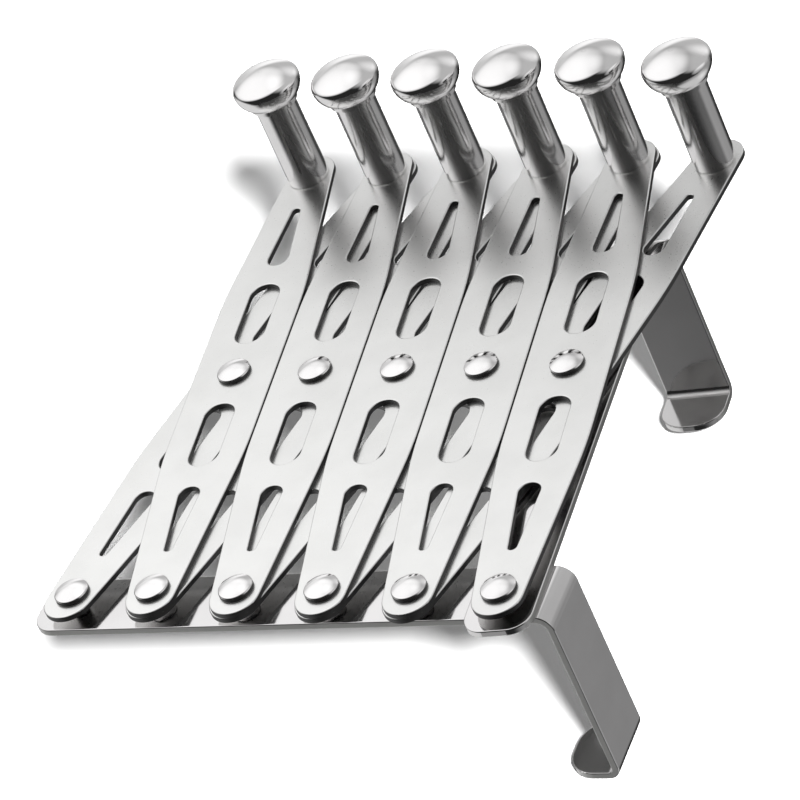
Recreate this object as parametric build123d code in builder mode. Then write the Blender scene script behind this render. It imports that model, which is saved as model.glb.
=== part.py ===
"""Expanding over-door hook rack, folded shut.

Ten punched steel slats cross in two layers and turn on rivets, so the rack closes like an accordion.
Six pegs with mushroom heads stand along the top row of pivots. Two bent strips, riveted to the end
pivots of the bottom row, hook over the top of a door: the right one stands upright behind the end
slat, and the left one is folded flat under the bottom row.

X runs along the rack to the right, Y towards the door and Z up, in millimetres. The origin is the
middle of the seat where the right hook rests on the top of the door.
"""
import os
from math import asin, cos, degrees, radians, sin, tan

from build123d import *

# Slats
slat_count = 5                  # in each of the two layers
pivot_spacing = 76.7            # middle rivet to either end pivot
slat_mid_width = 22.4
slat_shoulder = 30.0            # middle rivet to where the taper starts
slat_shoulder_radius = 150.0
slat_end_radius = 6.4
slat_end_margin = 8.2           # end pivot to the tip
slat_thickness = 1.4
slat_gap = 0.35                 # between neighbours of one layer when folded shut
slat_edge_radius = 0.35         # rolled over by the punch, along the front edges

# Openings punched in each half of a slat: a slot beside the middle rivet, then a teardrop
slot_width = 8.0
teardrop_wide_radius = 2.8
teardrop_narrow_radius = 1.1
middle_web = 11.3               # middle rivet to the slot
opening_web = 7.5               # slot to the teardrop
end_web = 13.1                  # teardrop to the end pivot

# Rivets
rivet_shank_radius = 2.0
rivet_head_radius = 4.3
rivet_rim_height = 0.7          # straight sides of the head, under its dome
rivet_dome_height = 1.4
rivet_edge_radius = 0.5         # where the dome turns down to the sides
rivet_tail_radius = 3.2
tail_height = 0.3               # of rivets and pegs, behind the slats
sunk_tail_radius = 3.0          # of the flush tails in the backs of the hooks
sunk_tail_angle = 90.0
pivot_clearance = 0.05          # radial, between a shank and its hole

# Pegs
peg_shaft_radius = 5.4
peg_rim_height = 30.4           # slat face to the widest part of the head
peg_head_radius = 8.9
peg_dome_height = 4.0
peg_edge_radius = 2.0           # where the dome turns under
peg_under_height = 4.8          # widest part down to the collar
peg_collar_radius = 6.2
peg_collar_height = 1.1
peg_foot_chamfer = 0.3
peg_shank_radius = 2.5
peg_tail_radius = 3.8

# Door hooks, bent from strip
door_gap = 48.0                 # between the strip and the lip
strip_width = 17.0
strip_thickness = 1.8
strip_end_margin = 10.0         # pivot to the end of the strip
strip_corner_radius = 5.5
strip_edge_radius = 0.3         # all along both sides
hook_reach = 125.0              # pivot up to the seat
strip_bend_radius = 2.5         # inside radii of the two bends
lip_bend_radius = 1.5
lip_straight = 11.0             # below the bend, down to the tip
lip_tip_flat = 3.0              # left straight across between the rounded corners
right_hook_lean = 5.8           # to the left of the rack's own upright
left_hook_rise = 2.2            # from the bottom row towards the pegs
layer_gap = 0.1                 # between a hook and what turns in front of it

# Folded shut, the widest parts of neighbouring slats stop a hair apart
lean = degrees(asin((slat_mid_width + slat_gap) / pivot_spacing)) / 2
pitch = 2 * pivot_spacing * sin(radians(lean))
rise = 2 * pivot_spacing * cos(radians(lean))

# Layers, measured forwards from the middle of the door
door_face = door_gap / 2
right_strip_front = door_face + strip_thickness
left_strip_front = door_face - layer_gap
left_strip_back = left_strip_front - strip_thickness
back_layer = right_strip_front + layer_gap + tail_height
front_layer = back_layer + slat_thickness
front_face = front_layer + slat_thickness


def place(plane, x, y, turn=0.0):
    """The plane shifted by x and y in itself, then turned about its normal."""
    return Plane(plane.location * Location((x, y, 0), (0, 0, turn)))


def section(plane):
    """The plane that holds the normal as its y axis, for the profile of a turned piece."""
    return Plane(origin=plane.origin, x_dir=plane.x_dir, z_dir=-plane.y_dir)


# The rack's own front plane, with its origin on the right hook's pivot
rack = place(Plane.XZ, 0, -hook_reach, -right_hook_lean)


def end_pivot(k, height, depth):
    """The k-th pivot of the bottom or the top row, counted from the left."""
    return place(rack.offset(depth), pitch * (k - slat_count - 1), height)


def middle_pivot(k, depth, turn=0.0):
    return place(rack.offset(depth), pitch * (k - slat_count - 0.5), rise / 2, turn)


def save(builder, name):
    builder.part.label = name
    export_step(builder.part, f"parts/{name}.step")


# One teardrop and the whole slat, standing upright
opening_length = (pivot_spacing - middle_web - opening_web - end_web) / 2
slot_centre = middle_web + opening_length / 2
teardrop_foot = middle_web + opening_length + opening_web
teardrop_tip = teardrop_foot + opening_length
slat_end_centre = pivot_spacing + slat_end_margin - slat_end_radius

with BuildSketch() as teardrop:
    with Locations((0, teardrop_foot + teardrop_wide_radius)):
        Circle(teardrop_wide_radius)
    with Locations((0, teardrop_tip - teardrop_narrow_radius)):
        Circle(teardrop_narrow_radius)
    make_hull()

with BuildSketch() as slat_face:
    with Locations((0, slat_end_centre), (0, -slat_end_centre)):
        Circle(slat_end_radius)
    Rectangle(slat_mid_width, 2 * slat_shoulder)
    make_hull()
    sides = slat_face.vertices().group_by(Axis.X)
    fillet(sides[0] + sides[-1], slat_shoulder_radius)
    with Locations((0, slot_centre), (0, -slot_centre)):
        SlotOverall(opening_length, slot_width, rotation=90, mode=Mode.SUBTRACT)
    with Locations(Location((0, 0, 0)), Location((0, 0, 0), (0, 0, 180))):
        add(teardrop.sketch, mode=Mode.SUBTRACT)
    with Locations((0, 0), (0, -pivot_spacing)):
        Circle(rivet_shank_radius + pivot_clearance, mode=Mode.SUBTRACT)
    with Locations((0, pivot_spacing)):
        Circle(peg_shank_radius + pivot_clearance, mode=Mode.SUBTRACT)


def make_slat(name, base):
    """A punched slat; base lies on its back face, at the middle rivet.

    Rivet heads cover the round holes, so the closed edges of the front face stay sharp.
    """
    with BuildPart() as slat:
        with BuildSketch(base):
            add(slat_face.sketch)
        extrude(amount=slat_thickness)
        front = slat.faces().sort_by(Axis(base.origin, base.z_dir))[-1]
        fillet(front.edges().filter_by(lambda edge: not edge.is_closed), slat_edge_radius)
    save(slat, name)


def make_turned(name, base, profile):
    """A piece turned about the normal of base; y of its profile runs forwards from base."""
    with BuildPart() as turned:
        with BuildSketch(section(base)):
            add(profile)
        revolve(axis=Axis(base.origin, base.z_dir))
    save(turned, name)


def raised_tail(shank_radius, tail_radius, grip):
    """A low flat tail behind the thickness that the shank holds together."""
    return [
        (shank_radius, -grip),
        (tail_radius, -grip),
        (tail_radius, -grip - tail_height),
        (0, -grip - tail_height),
    ]


def sunk_tail(grip):
    """A tail spread into a countersink, flush with the back of a hook."""
    depth = (sunk_tail_radius - rivet_shank_radius) / tan(radians(sunk_tail_angle / 2))
    return [(rivet_shank_radius, depth - grip), (sunk_tail_radius, -grip), (0, -grip)]


def dome_points(radius, height, edge_radius, foot):
    """Apex of a dome, the point where its crown meets its rounded edge, and its widest point."""
    flat = radius - edge_radius
    crown_radius = (flat**2 + height**2 - edge_radius**2) / (2 * (height - edge_radius))
    share = crown_radius / (crown_radius - edge_radius)
    meet = (flat * share, foot + (crown_radius - height) * (share - 1))
    return (0, foot + height), meet, (radius, foot)


def rivet_profile(tail):
    """Half the section of a dome-headed rivet, from under its head."""
    apex, meet, edge = dome_points(rivet_head_radius, rivet_dome_height, rivet_edge_radius, rivet_rim_height)
    with BuildSketch() as profile:
        with BuildLine():
            crown = TangentArc(apex, meet, tangent=(1, 0))
            TangentArc(meet, edge, tangent=crown % 1)
            Polyline(edge, (rivet_head_radius, 0), (rivet_shank_radius, 0), *tail, apex)
        make_face()
    return profile.sketch


def peg_profile(grip):
    """Half the section of a peg, from under its shaft."""
    apex, meet, edge = dome_points(peg_head_radius, peg_dome_height, peg_edge_radius, peg_rim_height)
    collar_top = peg_rim_height - peg_under_height
    collar_foot = collar_top - peg_collar_height
    with BuildSketch() as profile:
        with BuildLine():
            crown = TangentArc(apex, meet, tangent=(1, 0))
            TangentArc(meet, edge, tangent=crown % 1)
            TangentArc(edge, (peg_collar_radius, collar_top), tangent=(0, -1))
            Polyline(
                (peg_collar_radius, collar_top),
                (peg_collar_radius, collar_foot),
                (peg_shaft_radius, collar_foot),
                (peg_shaft_radius, peg_foot_chamfer),
                (peg_shaft_radius - peg_foot_chamfer, 0),
                (peg_shank_radius, 0),
                *raised_tail(peg_shank_radius, peg_tail_radius, grip),
                apex,
            )
        make_face()
    return profile.sketch


def make_door_hook(name, base):
    """A bent strip; base lies on its front face at the pivot, with the strip along its y axis."""
    back = -base.z_dir
    along = Axis(base.origin, base.y_dir)
    through = Axis(base.origin, back)
    leg_top = hook_reach + strip_thickness
    lip_back = door_gap + 2 * strip_thickness
    lip_tip = hook_reach - lip_bend_radius - lip_straight
    lip_corner_radius = (strip_width - lip_tip_flat) / 2
    with BuildPart() as hook:
        with BuildSketch(Plane(origin=base.origin, x_dir=back, z_dir=base.x_dir)):
            with BuildLine():
                FilletPolyline(
                    (0, -strip_end_margin),
                    (0, leg_top),
                    (lip_back, leg_top),
                    (lip_back, lip_tip),
                    radius=[strip_bend_radius + strip_thickness, lip_bend_radius + strip_thickness],
                )
                offset(amount=strip_thickness, side=Side.RIGHT)
            make_face()
        extrude(amount=strip_width / 2, both=True)
        fillet(hook.edges().filter_by(through).group_by(along)[1], lip_corner_radius)
        fillet(hook.edges().filter_by(through).group_by(along)[0], strip_corner_radius)
        sides = hook.faces().group_by(Axis(base.origin, base.x_dir))
        fillet(sides[0].edges() + sides[-1].edges(), strip_edge_radius)
        with Locations(Plane(origin=base.origin + strip_thickness * back, z_dir=back)):
            CounterSinkHole(
                rivet_shank_radius + pivot_clearance,
                sunk_tail_radius + pivot_clearance,
                counter_sink_angle=sunk_tail_angle,
            )
    save(hook, name)


os.makedirs("parts", exist_ok=True)
last = slat_count + 1
stack = 2 * slat_thickness
stack_rivet = rivet_profile(raised_tail(rivet_shank_radius, rivet_tail_radius, stack))
stack_peg = peg_profile(stack)
end_peg = peg_profile(slat_thickness)
left_hook_rivet = rivet_profile(sunk_tail(front_layer - left_strip_back))
right_hook_rivet = rivet_profile(sunk_tail(front_face - door_face))

# Where each pair of slats crosses
for k in range(1, last):
    make_slat(f"front_slat_{k}", middle_pivot(k, front_layer, lean))
    make_slat(f"back_slat_{k}", middle_pivot(k, back_layer, -lean))
    make_turned(f"middle_rivet_{k}", middle_pivot(k, front_face), stack_rivet)

# Where two slats meet at their ends
for k in range(2, last):
    make_turned(f"bottom_rivet_{k}", end_pivot(k, 0, front_face), stack_rivet)
    make_turned(f"peg_{k}", end_pivot(k, rise, front_face), stack_peg)

# The four corners of the rack, where a single slat ends
make_turned("peg_1", end_pivot(1, rise, front_face), end_peg)
make_turned(f"peg_{last}", end_pivot(last, rise, front_layer), end_peg)
make_turned("bottom_rivet_1", end_pivot(1, 0, front_layer), left_hook_rivet)
make_turned(f"bottom_rivet_{last}", end_pivot(last, 0, front_face), right_hook_rivet)
make_door_hook("right_door_hook", place(Plane.XZ.offset(right_strip_front), 0, -hook_reach))
make_door_hook("left_door_hook", place(end_pivot(1, 0, left_strip_front), 0, 0, left_hook_rise - 90))
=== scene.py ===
"""Looks of the expanding over-door hook rack: steel finishes, studio light, floor and camera."""

import bpy
from mathutils import Matrix, Vector


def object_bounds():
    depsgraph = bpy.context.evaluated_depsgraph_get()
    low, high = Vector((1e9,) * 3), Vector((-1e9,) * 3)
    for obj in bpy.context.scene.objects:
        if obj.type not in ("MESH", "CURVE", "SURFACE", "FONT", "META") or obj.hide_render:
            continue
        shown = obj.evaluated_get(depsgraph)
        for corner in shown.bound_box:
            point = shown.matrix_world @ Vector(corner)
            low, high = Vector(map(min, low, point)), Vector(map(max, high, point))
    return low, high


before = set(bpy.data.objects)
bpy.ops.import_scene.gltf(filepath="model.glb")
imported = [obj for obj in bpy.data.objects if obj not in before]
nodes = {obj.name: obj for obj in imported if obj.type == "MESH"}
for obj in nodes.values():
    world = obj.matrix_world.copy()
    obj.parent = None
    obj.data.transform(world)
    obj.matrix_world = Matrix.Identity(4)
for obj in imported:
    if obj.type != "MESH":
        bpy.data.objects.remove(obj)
cad_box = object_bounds()

# Camera, in metres, looking up at the rack from the lower right
IMAGE_SIZE = 800                # in pixels, for both sides of the image
FOCAL_PIXELS = 4735.2
SENSOR = 36.0                   # in millimetres
CLIP_START = 0.01
CAMERA_PLACE = Vector((0.439070, -0.675506, -0.837574))
CAMERA_RIGHT = Vector((0.898169, 0.347930, 0.268770))
CAMERA_DOWN = Vector((-0.087443, 0.740483, -0.666362))

# Floor behind the rack, in metres, and the lamp that throws the rack's soft shadow onto it
FLOOR_BEHIND = 0.001            # from the rearmost steel to the floor
FLOOR_SIZE = 6.0
FLOOR_COLOUR = (0.9, 0.9, 0.9, 1.0)
FLOOR_LAMP_WAY = Vector((-0.47, 0.575, 0.564))      # the way its light travels
FLOOR_LAMP_ANGLE = 0.13         # in radians: how wide it is, and so how soft the shadow
FLOOR_LAMP_STRENGTH = 10.0

# Large softbox in front, to the left, in metres: brightest in its middle
SOFTBOX_PLACE = Vector((-0.36, -0.50, 0.05))
SOFTBOX_FACING = Vector((0.54, 0.82, -0.15))
SOFTBOX_RADIUS = 0.72           # where its light ends
SOFTBOX_STRENGTH = 1.12

# Soft lights of the room that the steel mirrors: direction, cosine at the edge and in the middle, strength
LIGHTS = (
    ((0.69, -0.575, 0.43), 0.5, 0.9, 0.5),          # reflector in front, to the right
    ((0.0, -0.15, 0.98), 0.7, 0.95, 0.5),           # pale ceiling
    ((-0.6, 0.1, 0.79), 0.87, 0.96, 0.6),           # its pale corner, to the left
    ((-0.78, 0.6, -0.15), 0.7, 0.92, 0.75),         # pale wall behind, to the left
    ((0.72, 0.58, 0.38), 0.82, 0.98, 0.3),          # and to the right
    ((0.25, 0.95, -0.1), 0.7, 0.93, 0.6),           # and straight behind
    ((1.0, -0.05, -0.1), 0.85, 0.97, 0.4),          # pale wall to the right
)
ROOM = 0.02                     # strength of the dim rest of the room
WHITE = (1.0, 1.0, 1.0, 1.0)

# Finishes: colour and roughness
SATIN = ((0.86, 0.86, 0.85, 1.0), 0.3)
ROLLED = ((0.78, 0.77, 0.77, 1.0), 0.1)
POLISHED = ((0.9, 0.89, 0.89, 1.0), 0.06)
TURNED = ((0.86, 0.85, 0.85, 1.0), 0.16)
# Sheared edges and rivet rims: rougher, and so dark a colour that it is painted shade, for the shadow
# between slats, in their openings and around rivet heads
SHEARED_AND_PAINTED_SHADE = ((0.1, 0.1, 0.1, 1.0), 0.5)
SAWN = ((0.45, 0.45, 0.44, 1.0), 0.45)

# Fine grain in the roughness and the relief of every finish, in metres
GRAIN_SIZE = 0.0005
GRAIN_DETAIL = 3.0
GRAIN_DEPTH = 0.000001
GRAIN_RELIEF = 0.3              # strength of the relief
GRAIN_ROUGHNESS = 0.1           # share by which the roughness rises and falls

# Faint darker clouds in the colour of every finish, in metres
CLOUD_SIZE = 0.012
CLOUD_DETAIL = 4.0
CLOUD_SHADE = 0.95              # share of the colour that the darkest of them keep

# Values of a noise between which grain and clouds go from nothing to full
NOISE_LOW = 0.3
NOISE_HIGH = 0.7

# Cosines between a smooth normal and its facet's own: a good one, and one that strays
NORMAL_GOOD = 0.998
NORMAL_STRAYS = 0.99

# Corners of a square
SQUARE = ((-1, -1), (1, -1), (1, 1), (-1, 1))


class Graph:
    """Short names for building one node tree."""

    def __init__(self, tree):
        self.tree = tree
        tree.nodes.clear()

    def add(self, kind, **values):
        node = self.tree.nodes.new(kind)
        for name, value in values.items():
            setattr(node, name, value)
        return node

    def put(self, value, socket):
        """Links another node's output to the socket, or sets a constant on it."""
        if isinstance(value, bpy.types.NodeSocket):
            self.tree.links.new(value, socket)
        else:
            socket.default_value = value

    def math(self, operation, *values, kind="ShaderNodeMath"):
        node = self.add(kind, operation=operation)
        for value, socket in zip(values, node.inputs):
            self.put(value, socket)
        return node.outputs["Value"]

    def vector_math(self, operation, first, second):
        return self.math(operation, first, second, kind="ShaderNodeVectorMath")

    def ramp(self, value, low, high, to_low=0.0, to_high=1.0, smooth=False):
        node = self.add("ShaderNodeMapRange")
        node.interpolation_type = "SMOOTHSTEP" if smooth else "LINEAR"
        self.put(value, node.inputs["Value"])
        self.put(low, node.inputs["From Min"])
        self.put(high, node.inputs["From Max"])
        self.put(to_low, node.inputs["To Min"])
        self.put(to_high, node.inputs["To Max"])
        return node.outputs["Result"]

    def mix(self, kind, factor, first, second):
        """Two colours or vectors: the first where the factor is 0, the second where it is 1."""
        node = self.add("ShaderNodeMix", data_type=kind)
        self.put(factor, node.inputs["Factor"])
        self.put(first, node.inputs["A"])
        self.put(second, node.inputs["B"])
        return node.outputs["Result"]

    def mix_shaders(self, factor, first, second):
        """The first shader where the factor is 0, the second where it is 1."""
        node = self.add("ShaderNodeMixShader")
        self.put(factor, node.inputs["Fac"])
        self.put(first, node.inputs[1])
        self.put(second, node.inputs[2])
        return node.outputs["Shader"]

    def show(self, shader, kind="ShaderNodeOutputMaterial"):
        self.put(shader, self.add(kind).inputs["Surface"])


def new_material(name):
    material = bpy.data.materials.new(name)
    material.use_nodes = True
    return material, Graph(material.node_tree)


def add_object(name, data):
    thing = bpy.data.objects.new(name, data)
    bpy.context.scene.collection.objects.link(thing)
    return thing


def add_camera():
    data = bpy.data.cameras.new("camera")
    data.sensor_width = SENSOR
    data.lens = FOCAL_PIXELS / IMAGE_SIZE * SENSOR
    data.clip_start = CLIP_START
    up = -CAMERA_DOWN
    backwards = CAMERA_RIGHT.cross(up)
    turn = Matrix((CAMERA_RIGHT, up, backwards)).transposed()
    camera = add_object("camera", data)
    camera.matrix_world = Matrix.Translation(CAMERA_PLACE) @ turn.to_4x4()
    bpy.context.scene.camera = camera


def add_plane(name, corners, material):
    """A square of the stage, with texture coordinates from 0 to 1."""
    mesh = bpy.data.meshes.new(name)
    mesh.from_pydata(corners, [], [(0, 1, 2, 3)])
    places = [(along + 1) / 2 for corner in SQUARE for along in corner]
    mesh.uv_layers.new().data.foreach_set("uv", places)
    mesh.materials.append(material)
    plane = add_object(name, mesh)
    plane.visible_diffuse = False
    plane.visible_shadow = False
    return plane


def add_floor(depth):
    """A pale floor behind the rack, seen from the front only."""
    material, graph = new_material("pale_floor")
    pale = graph.add("ShaderNodeBsdfDiffuse")
    graph.put(FLOOR_COLOUR, pale.inputs["Color"])
    clear = graph.add("ShaderNodeBsdfTransparent")
    side = graph.add("ShaderNodeNewGeometry").outputs["Backfacing"]
    graph.show(graph.mix_shaders(side, pale.outputs["BSDF"], clear.outputs["BSDF"]))
    half = FLOOR_SIZE / 2
    floor = add_plane("floor", [(half * x, depth, half * z) for x, z in SQUARE], material)
    floor.visible_glossy = False
    return floor


def add_floor_lamp(floor):
    """A lamp for the floor alone, with the rack in its way."""
    data = bpy.data.lights.new("floor_lamp", "SUN")
    data.angle = FLOOR_LAMP_ANGLE
    data.energy = FLOOR_LAMP_STRENGTH
    lamp = add_object("floor_lamp", data)
    lamp.matrix_world = FLOOR_LAMP_WAY.to_track_quat("-Z", "Y").to_matrix().to_4x4()
    lit = bpy.data.collections.new("floor_lamp_lights")
    lit.objects.link(floor)
    lamp.light_linking.receiver_collection = lit


def add_softbox():
    """A round soft light that only the steel sees, on a clear square."""
    material, graph = new_material("softbox")
    place = graph.add("ShaderNodeUVMap").outputs["UV"]
    middle = (0.5, 0.5, 0.0)
    edge = 0.5
    offset = graph.vector_math("DISTANCE", place, middle)
    square = graph.math("MULTIPLY", offset, offset)
    lit = graph.add("ShaderNodeEmission")
    graph.put(graph.ramp(square, edge**2, 0.0, 0.0, SOFTBOX_STRENGTH, smooth=True), lit.inputs["Strength"])
    clear = graph.add("ShaderNodeBsdfTransparent")
    both = graph.add("ShaderNodeAddShader")
    graph.put(lit.outputs["Emission"], both.inputs[0])
    graph.put(clear.outputs["BSDF"], both.inputs[1])
    graph.show(both.outputs["Shader"])
    turn = SOFTBOX_FACING.to_track_quat("Z", "Y").to_matrix()
    corners = [SOFTBOX_PLACE + turn @ Vector((x, y, 0)) * SOFTBOX_RADIUS for x, y in SQUARE]
    add_plane("softbox", corners, material).visible_camera = False


def add_studio():
    """White to the camera, and soft lights in a dim room to everything that mirrors it."""
    world = bpy.data.worlds.new("studio")
    bpy.context.scene.world = world
    world.use_nodes = True
    graph = Graph(world.node_tree)
    way = graph.add("ShaderNodeTexCoord").outputs["Generated"]

    def lobe(direction, edge, middle, strength):
        cosine = graph.vector_math("DOT_PRODUCT", way, Vector(direction).normalized())
        return graph.ramp(cosine, edge, middle, 0.0, strength, smooth=True)

    def background(strength):
        node = graph.add("ShaderNodeBackground")
        graph.put(WHITE, node.inputs["Color"])
        graph.put(strength, node.inputs["Strength"])
        return node.outputs["Background"]

    total = ROOM
    for light in LIGHTS:
        total = graph.math("ADD", lobe(*light), total)
    seen = graph.add("ShaderNodeLightPath").outputs["Is Camera Ray"]
    graph.show(graph.mix_shaders(seen, background(total), background(1.0)), "ShaderNodeOutputWorld")


def noise(graph, place, size, detail):
    node = graph.add("ShaderNodeTexNoise")
    graph.put(place, node.inputs["Vector"])
    graph.put(1 / size, node.inputs["Scale"])
    graph.put(detail, node.inputs["Detail"])
    return node.outputs["Fac"]


def facet_mended(graph):
    """Smooth normals, but a facet's own where they stray from it, as they do at the tops of domes."""
    shape = graph.add("ShaderNodeNewGeometry")
    smooth = shape.outputs["Normal"]
    own = shape.outputs["True Normal"]
    straying = graph.ramp(graph.vector_math("DOT_PRODUCT", smooth, own), NORMAL_GOOD, NORMAL_STRAYS)
    return graph.mix("VECTOR", straying, smooth, own)


def relief(graph, grain):
    """Normals with the relief of the grain."""
    bump = graph.add("ShaderNodeBump")
    graph.put(GRAIN_RELIEF, bump.inputs["Strength"])
    graph.put(GRAIN_DEPTH, bump.inputs["Distance"])
    graph.put(grain, bump.inputs["Height"])
    graph.put(facet_mended(graph), bump.inputs["Normal"])
    return bump.outputs["Normal"]


def finish(graph, colour, roughness, grain, clouds, normal):
    """One finish of the steel, rougher where the grain is high and darker where the clouds are."""
    smoothest = (1 - GRAIN_ROUGHNESS) * roughness
    roughest = (1 + GRAIN_ROUGHNESS) * roughness
    uneven = graph.ramp(grain, NOISE_LOW, NOISE_HIGH, smoothest, roughest)
    red, green, blue, opacity = colour
    darker = (CLOUD_SHADE * red, CLOUD_SHADE * green, CLOUD_SHADE * blue, opacity)
    shader = graph.add("ShaderNodeBsdfPrincipled")
    graph.put(graph.mix("RGBA", clouds, colour, darker), shader.inputs["Base Color"])
    graph.put(1.0, shader.inputs["Metallic"])
    graph.put(uneven, shader.inputs["Roughness"])
    graph.put(normal, shader.inputs["Normal"])
    return shader.outputs["BSDF"]


def steel(name, main, other, axis, start, full, both_ways=False):
    """Bare steel with a main finish where it faces far enough along an axis, and another elsewhere.

    The main finish comes in from start to full, along the axis of the piece's own surface normal.
    """
    material, graph = new_material(name)
    place = graph.add("ShaderNodeTexCoord")
    grain = noise(graph, place.outputs["Object"], GRAIN_SIZE, GRAIN_DETAIL)
    spots = noise(graph, place.outputs["Object"], CLOUD_SIZE, CLOUD_DETAIL)
    clouds = graph.ramp(spots, NOISE_LOW, NOISE_HIGH, smooth=True)
    normal = relief(graph, grain)

    facing = graph.add("ShaderNodeSeparateXYZ")
    graph.put(place.outputs["Normal"], facing.inputs["Vector"])
    along = facing.outputs[axis]
    if both_ways:
        along = graph.math("ABSOLUTE", along)
    other_finish = finish(graph, *other, grain, clouds, normal)
    main_finish = finish(graph, *main, grain, clouds, normal)
    graph.show(graph.mix_shaders(graph.ramp(along, start, full), other_finish, main_finish))
    return material


def dress(material, *starts):
    """Gives the material to every node whose name starts so."""
    for name, piece in nodes.items():
        if name.startswith(starts):
            piece.data.materials.clear()
            piece.data.materials.append(material)


# Stage
add_camera()
floor_depth = cad_box[1][1] + FLOOR_BEHIND
add_floor_lamp(add_floor(floor_depth))
add_softbox()
add_studio()

# Slats and rivets: their faces, front and back, and their sheared edges and rivet rims, made dark with
# painted shade
satin_steel = steel("satin_steel", SATIN, SHEARED_AND_PAINTED_SHADE, axis="Y", start=0.25, full=0.6, both_ways=True)
rivet_steel = steel("rivet_steel", POLISHED, SHEARED_AND_PAINTED_SHADE, axis="Y", start=0.1, full=0.3, both_ways=True)
dress(satin_steel, "front_slat", "back_slat")
dress(rivet_steel, "bottom_rivet", "middle_rivet")

# Pegs: the polished tops of the heads, and the rest as it was turned
peg_steel = steel("peg_steel", POLISHED, TURNED, axis="Y", start=-0.05, full=-0.3)
dress(peg_steel, "peg")

# Door hooks: the rolled strip, and its sawn edges across its width
right_strip_steel = steel("right_strip_steel", ROLLED, SAWN, axis="X", start=0.95, full=0.7, both_ways=True)
left_strip_steel = steel("left_strip_steel", ROLLED, SAWN, axis="Z", start=0.95, full=0.7, both_ways=True)
dress(right_strip_steel, "right_door_hook")
dress(left_strip_steel, "left_door_hook")

bpy.context.scene.view_settings.view_transform = "Standard"
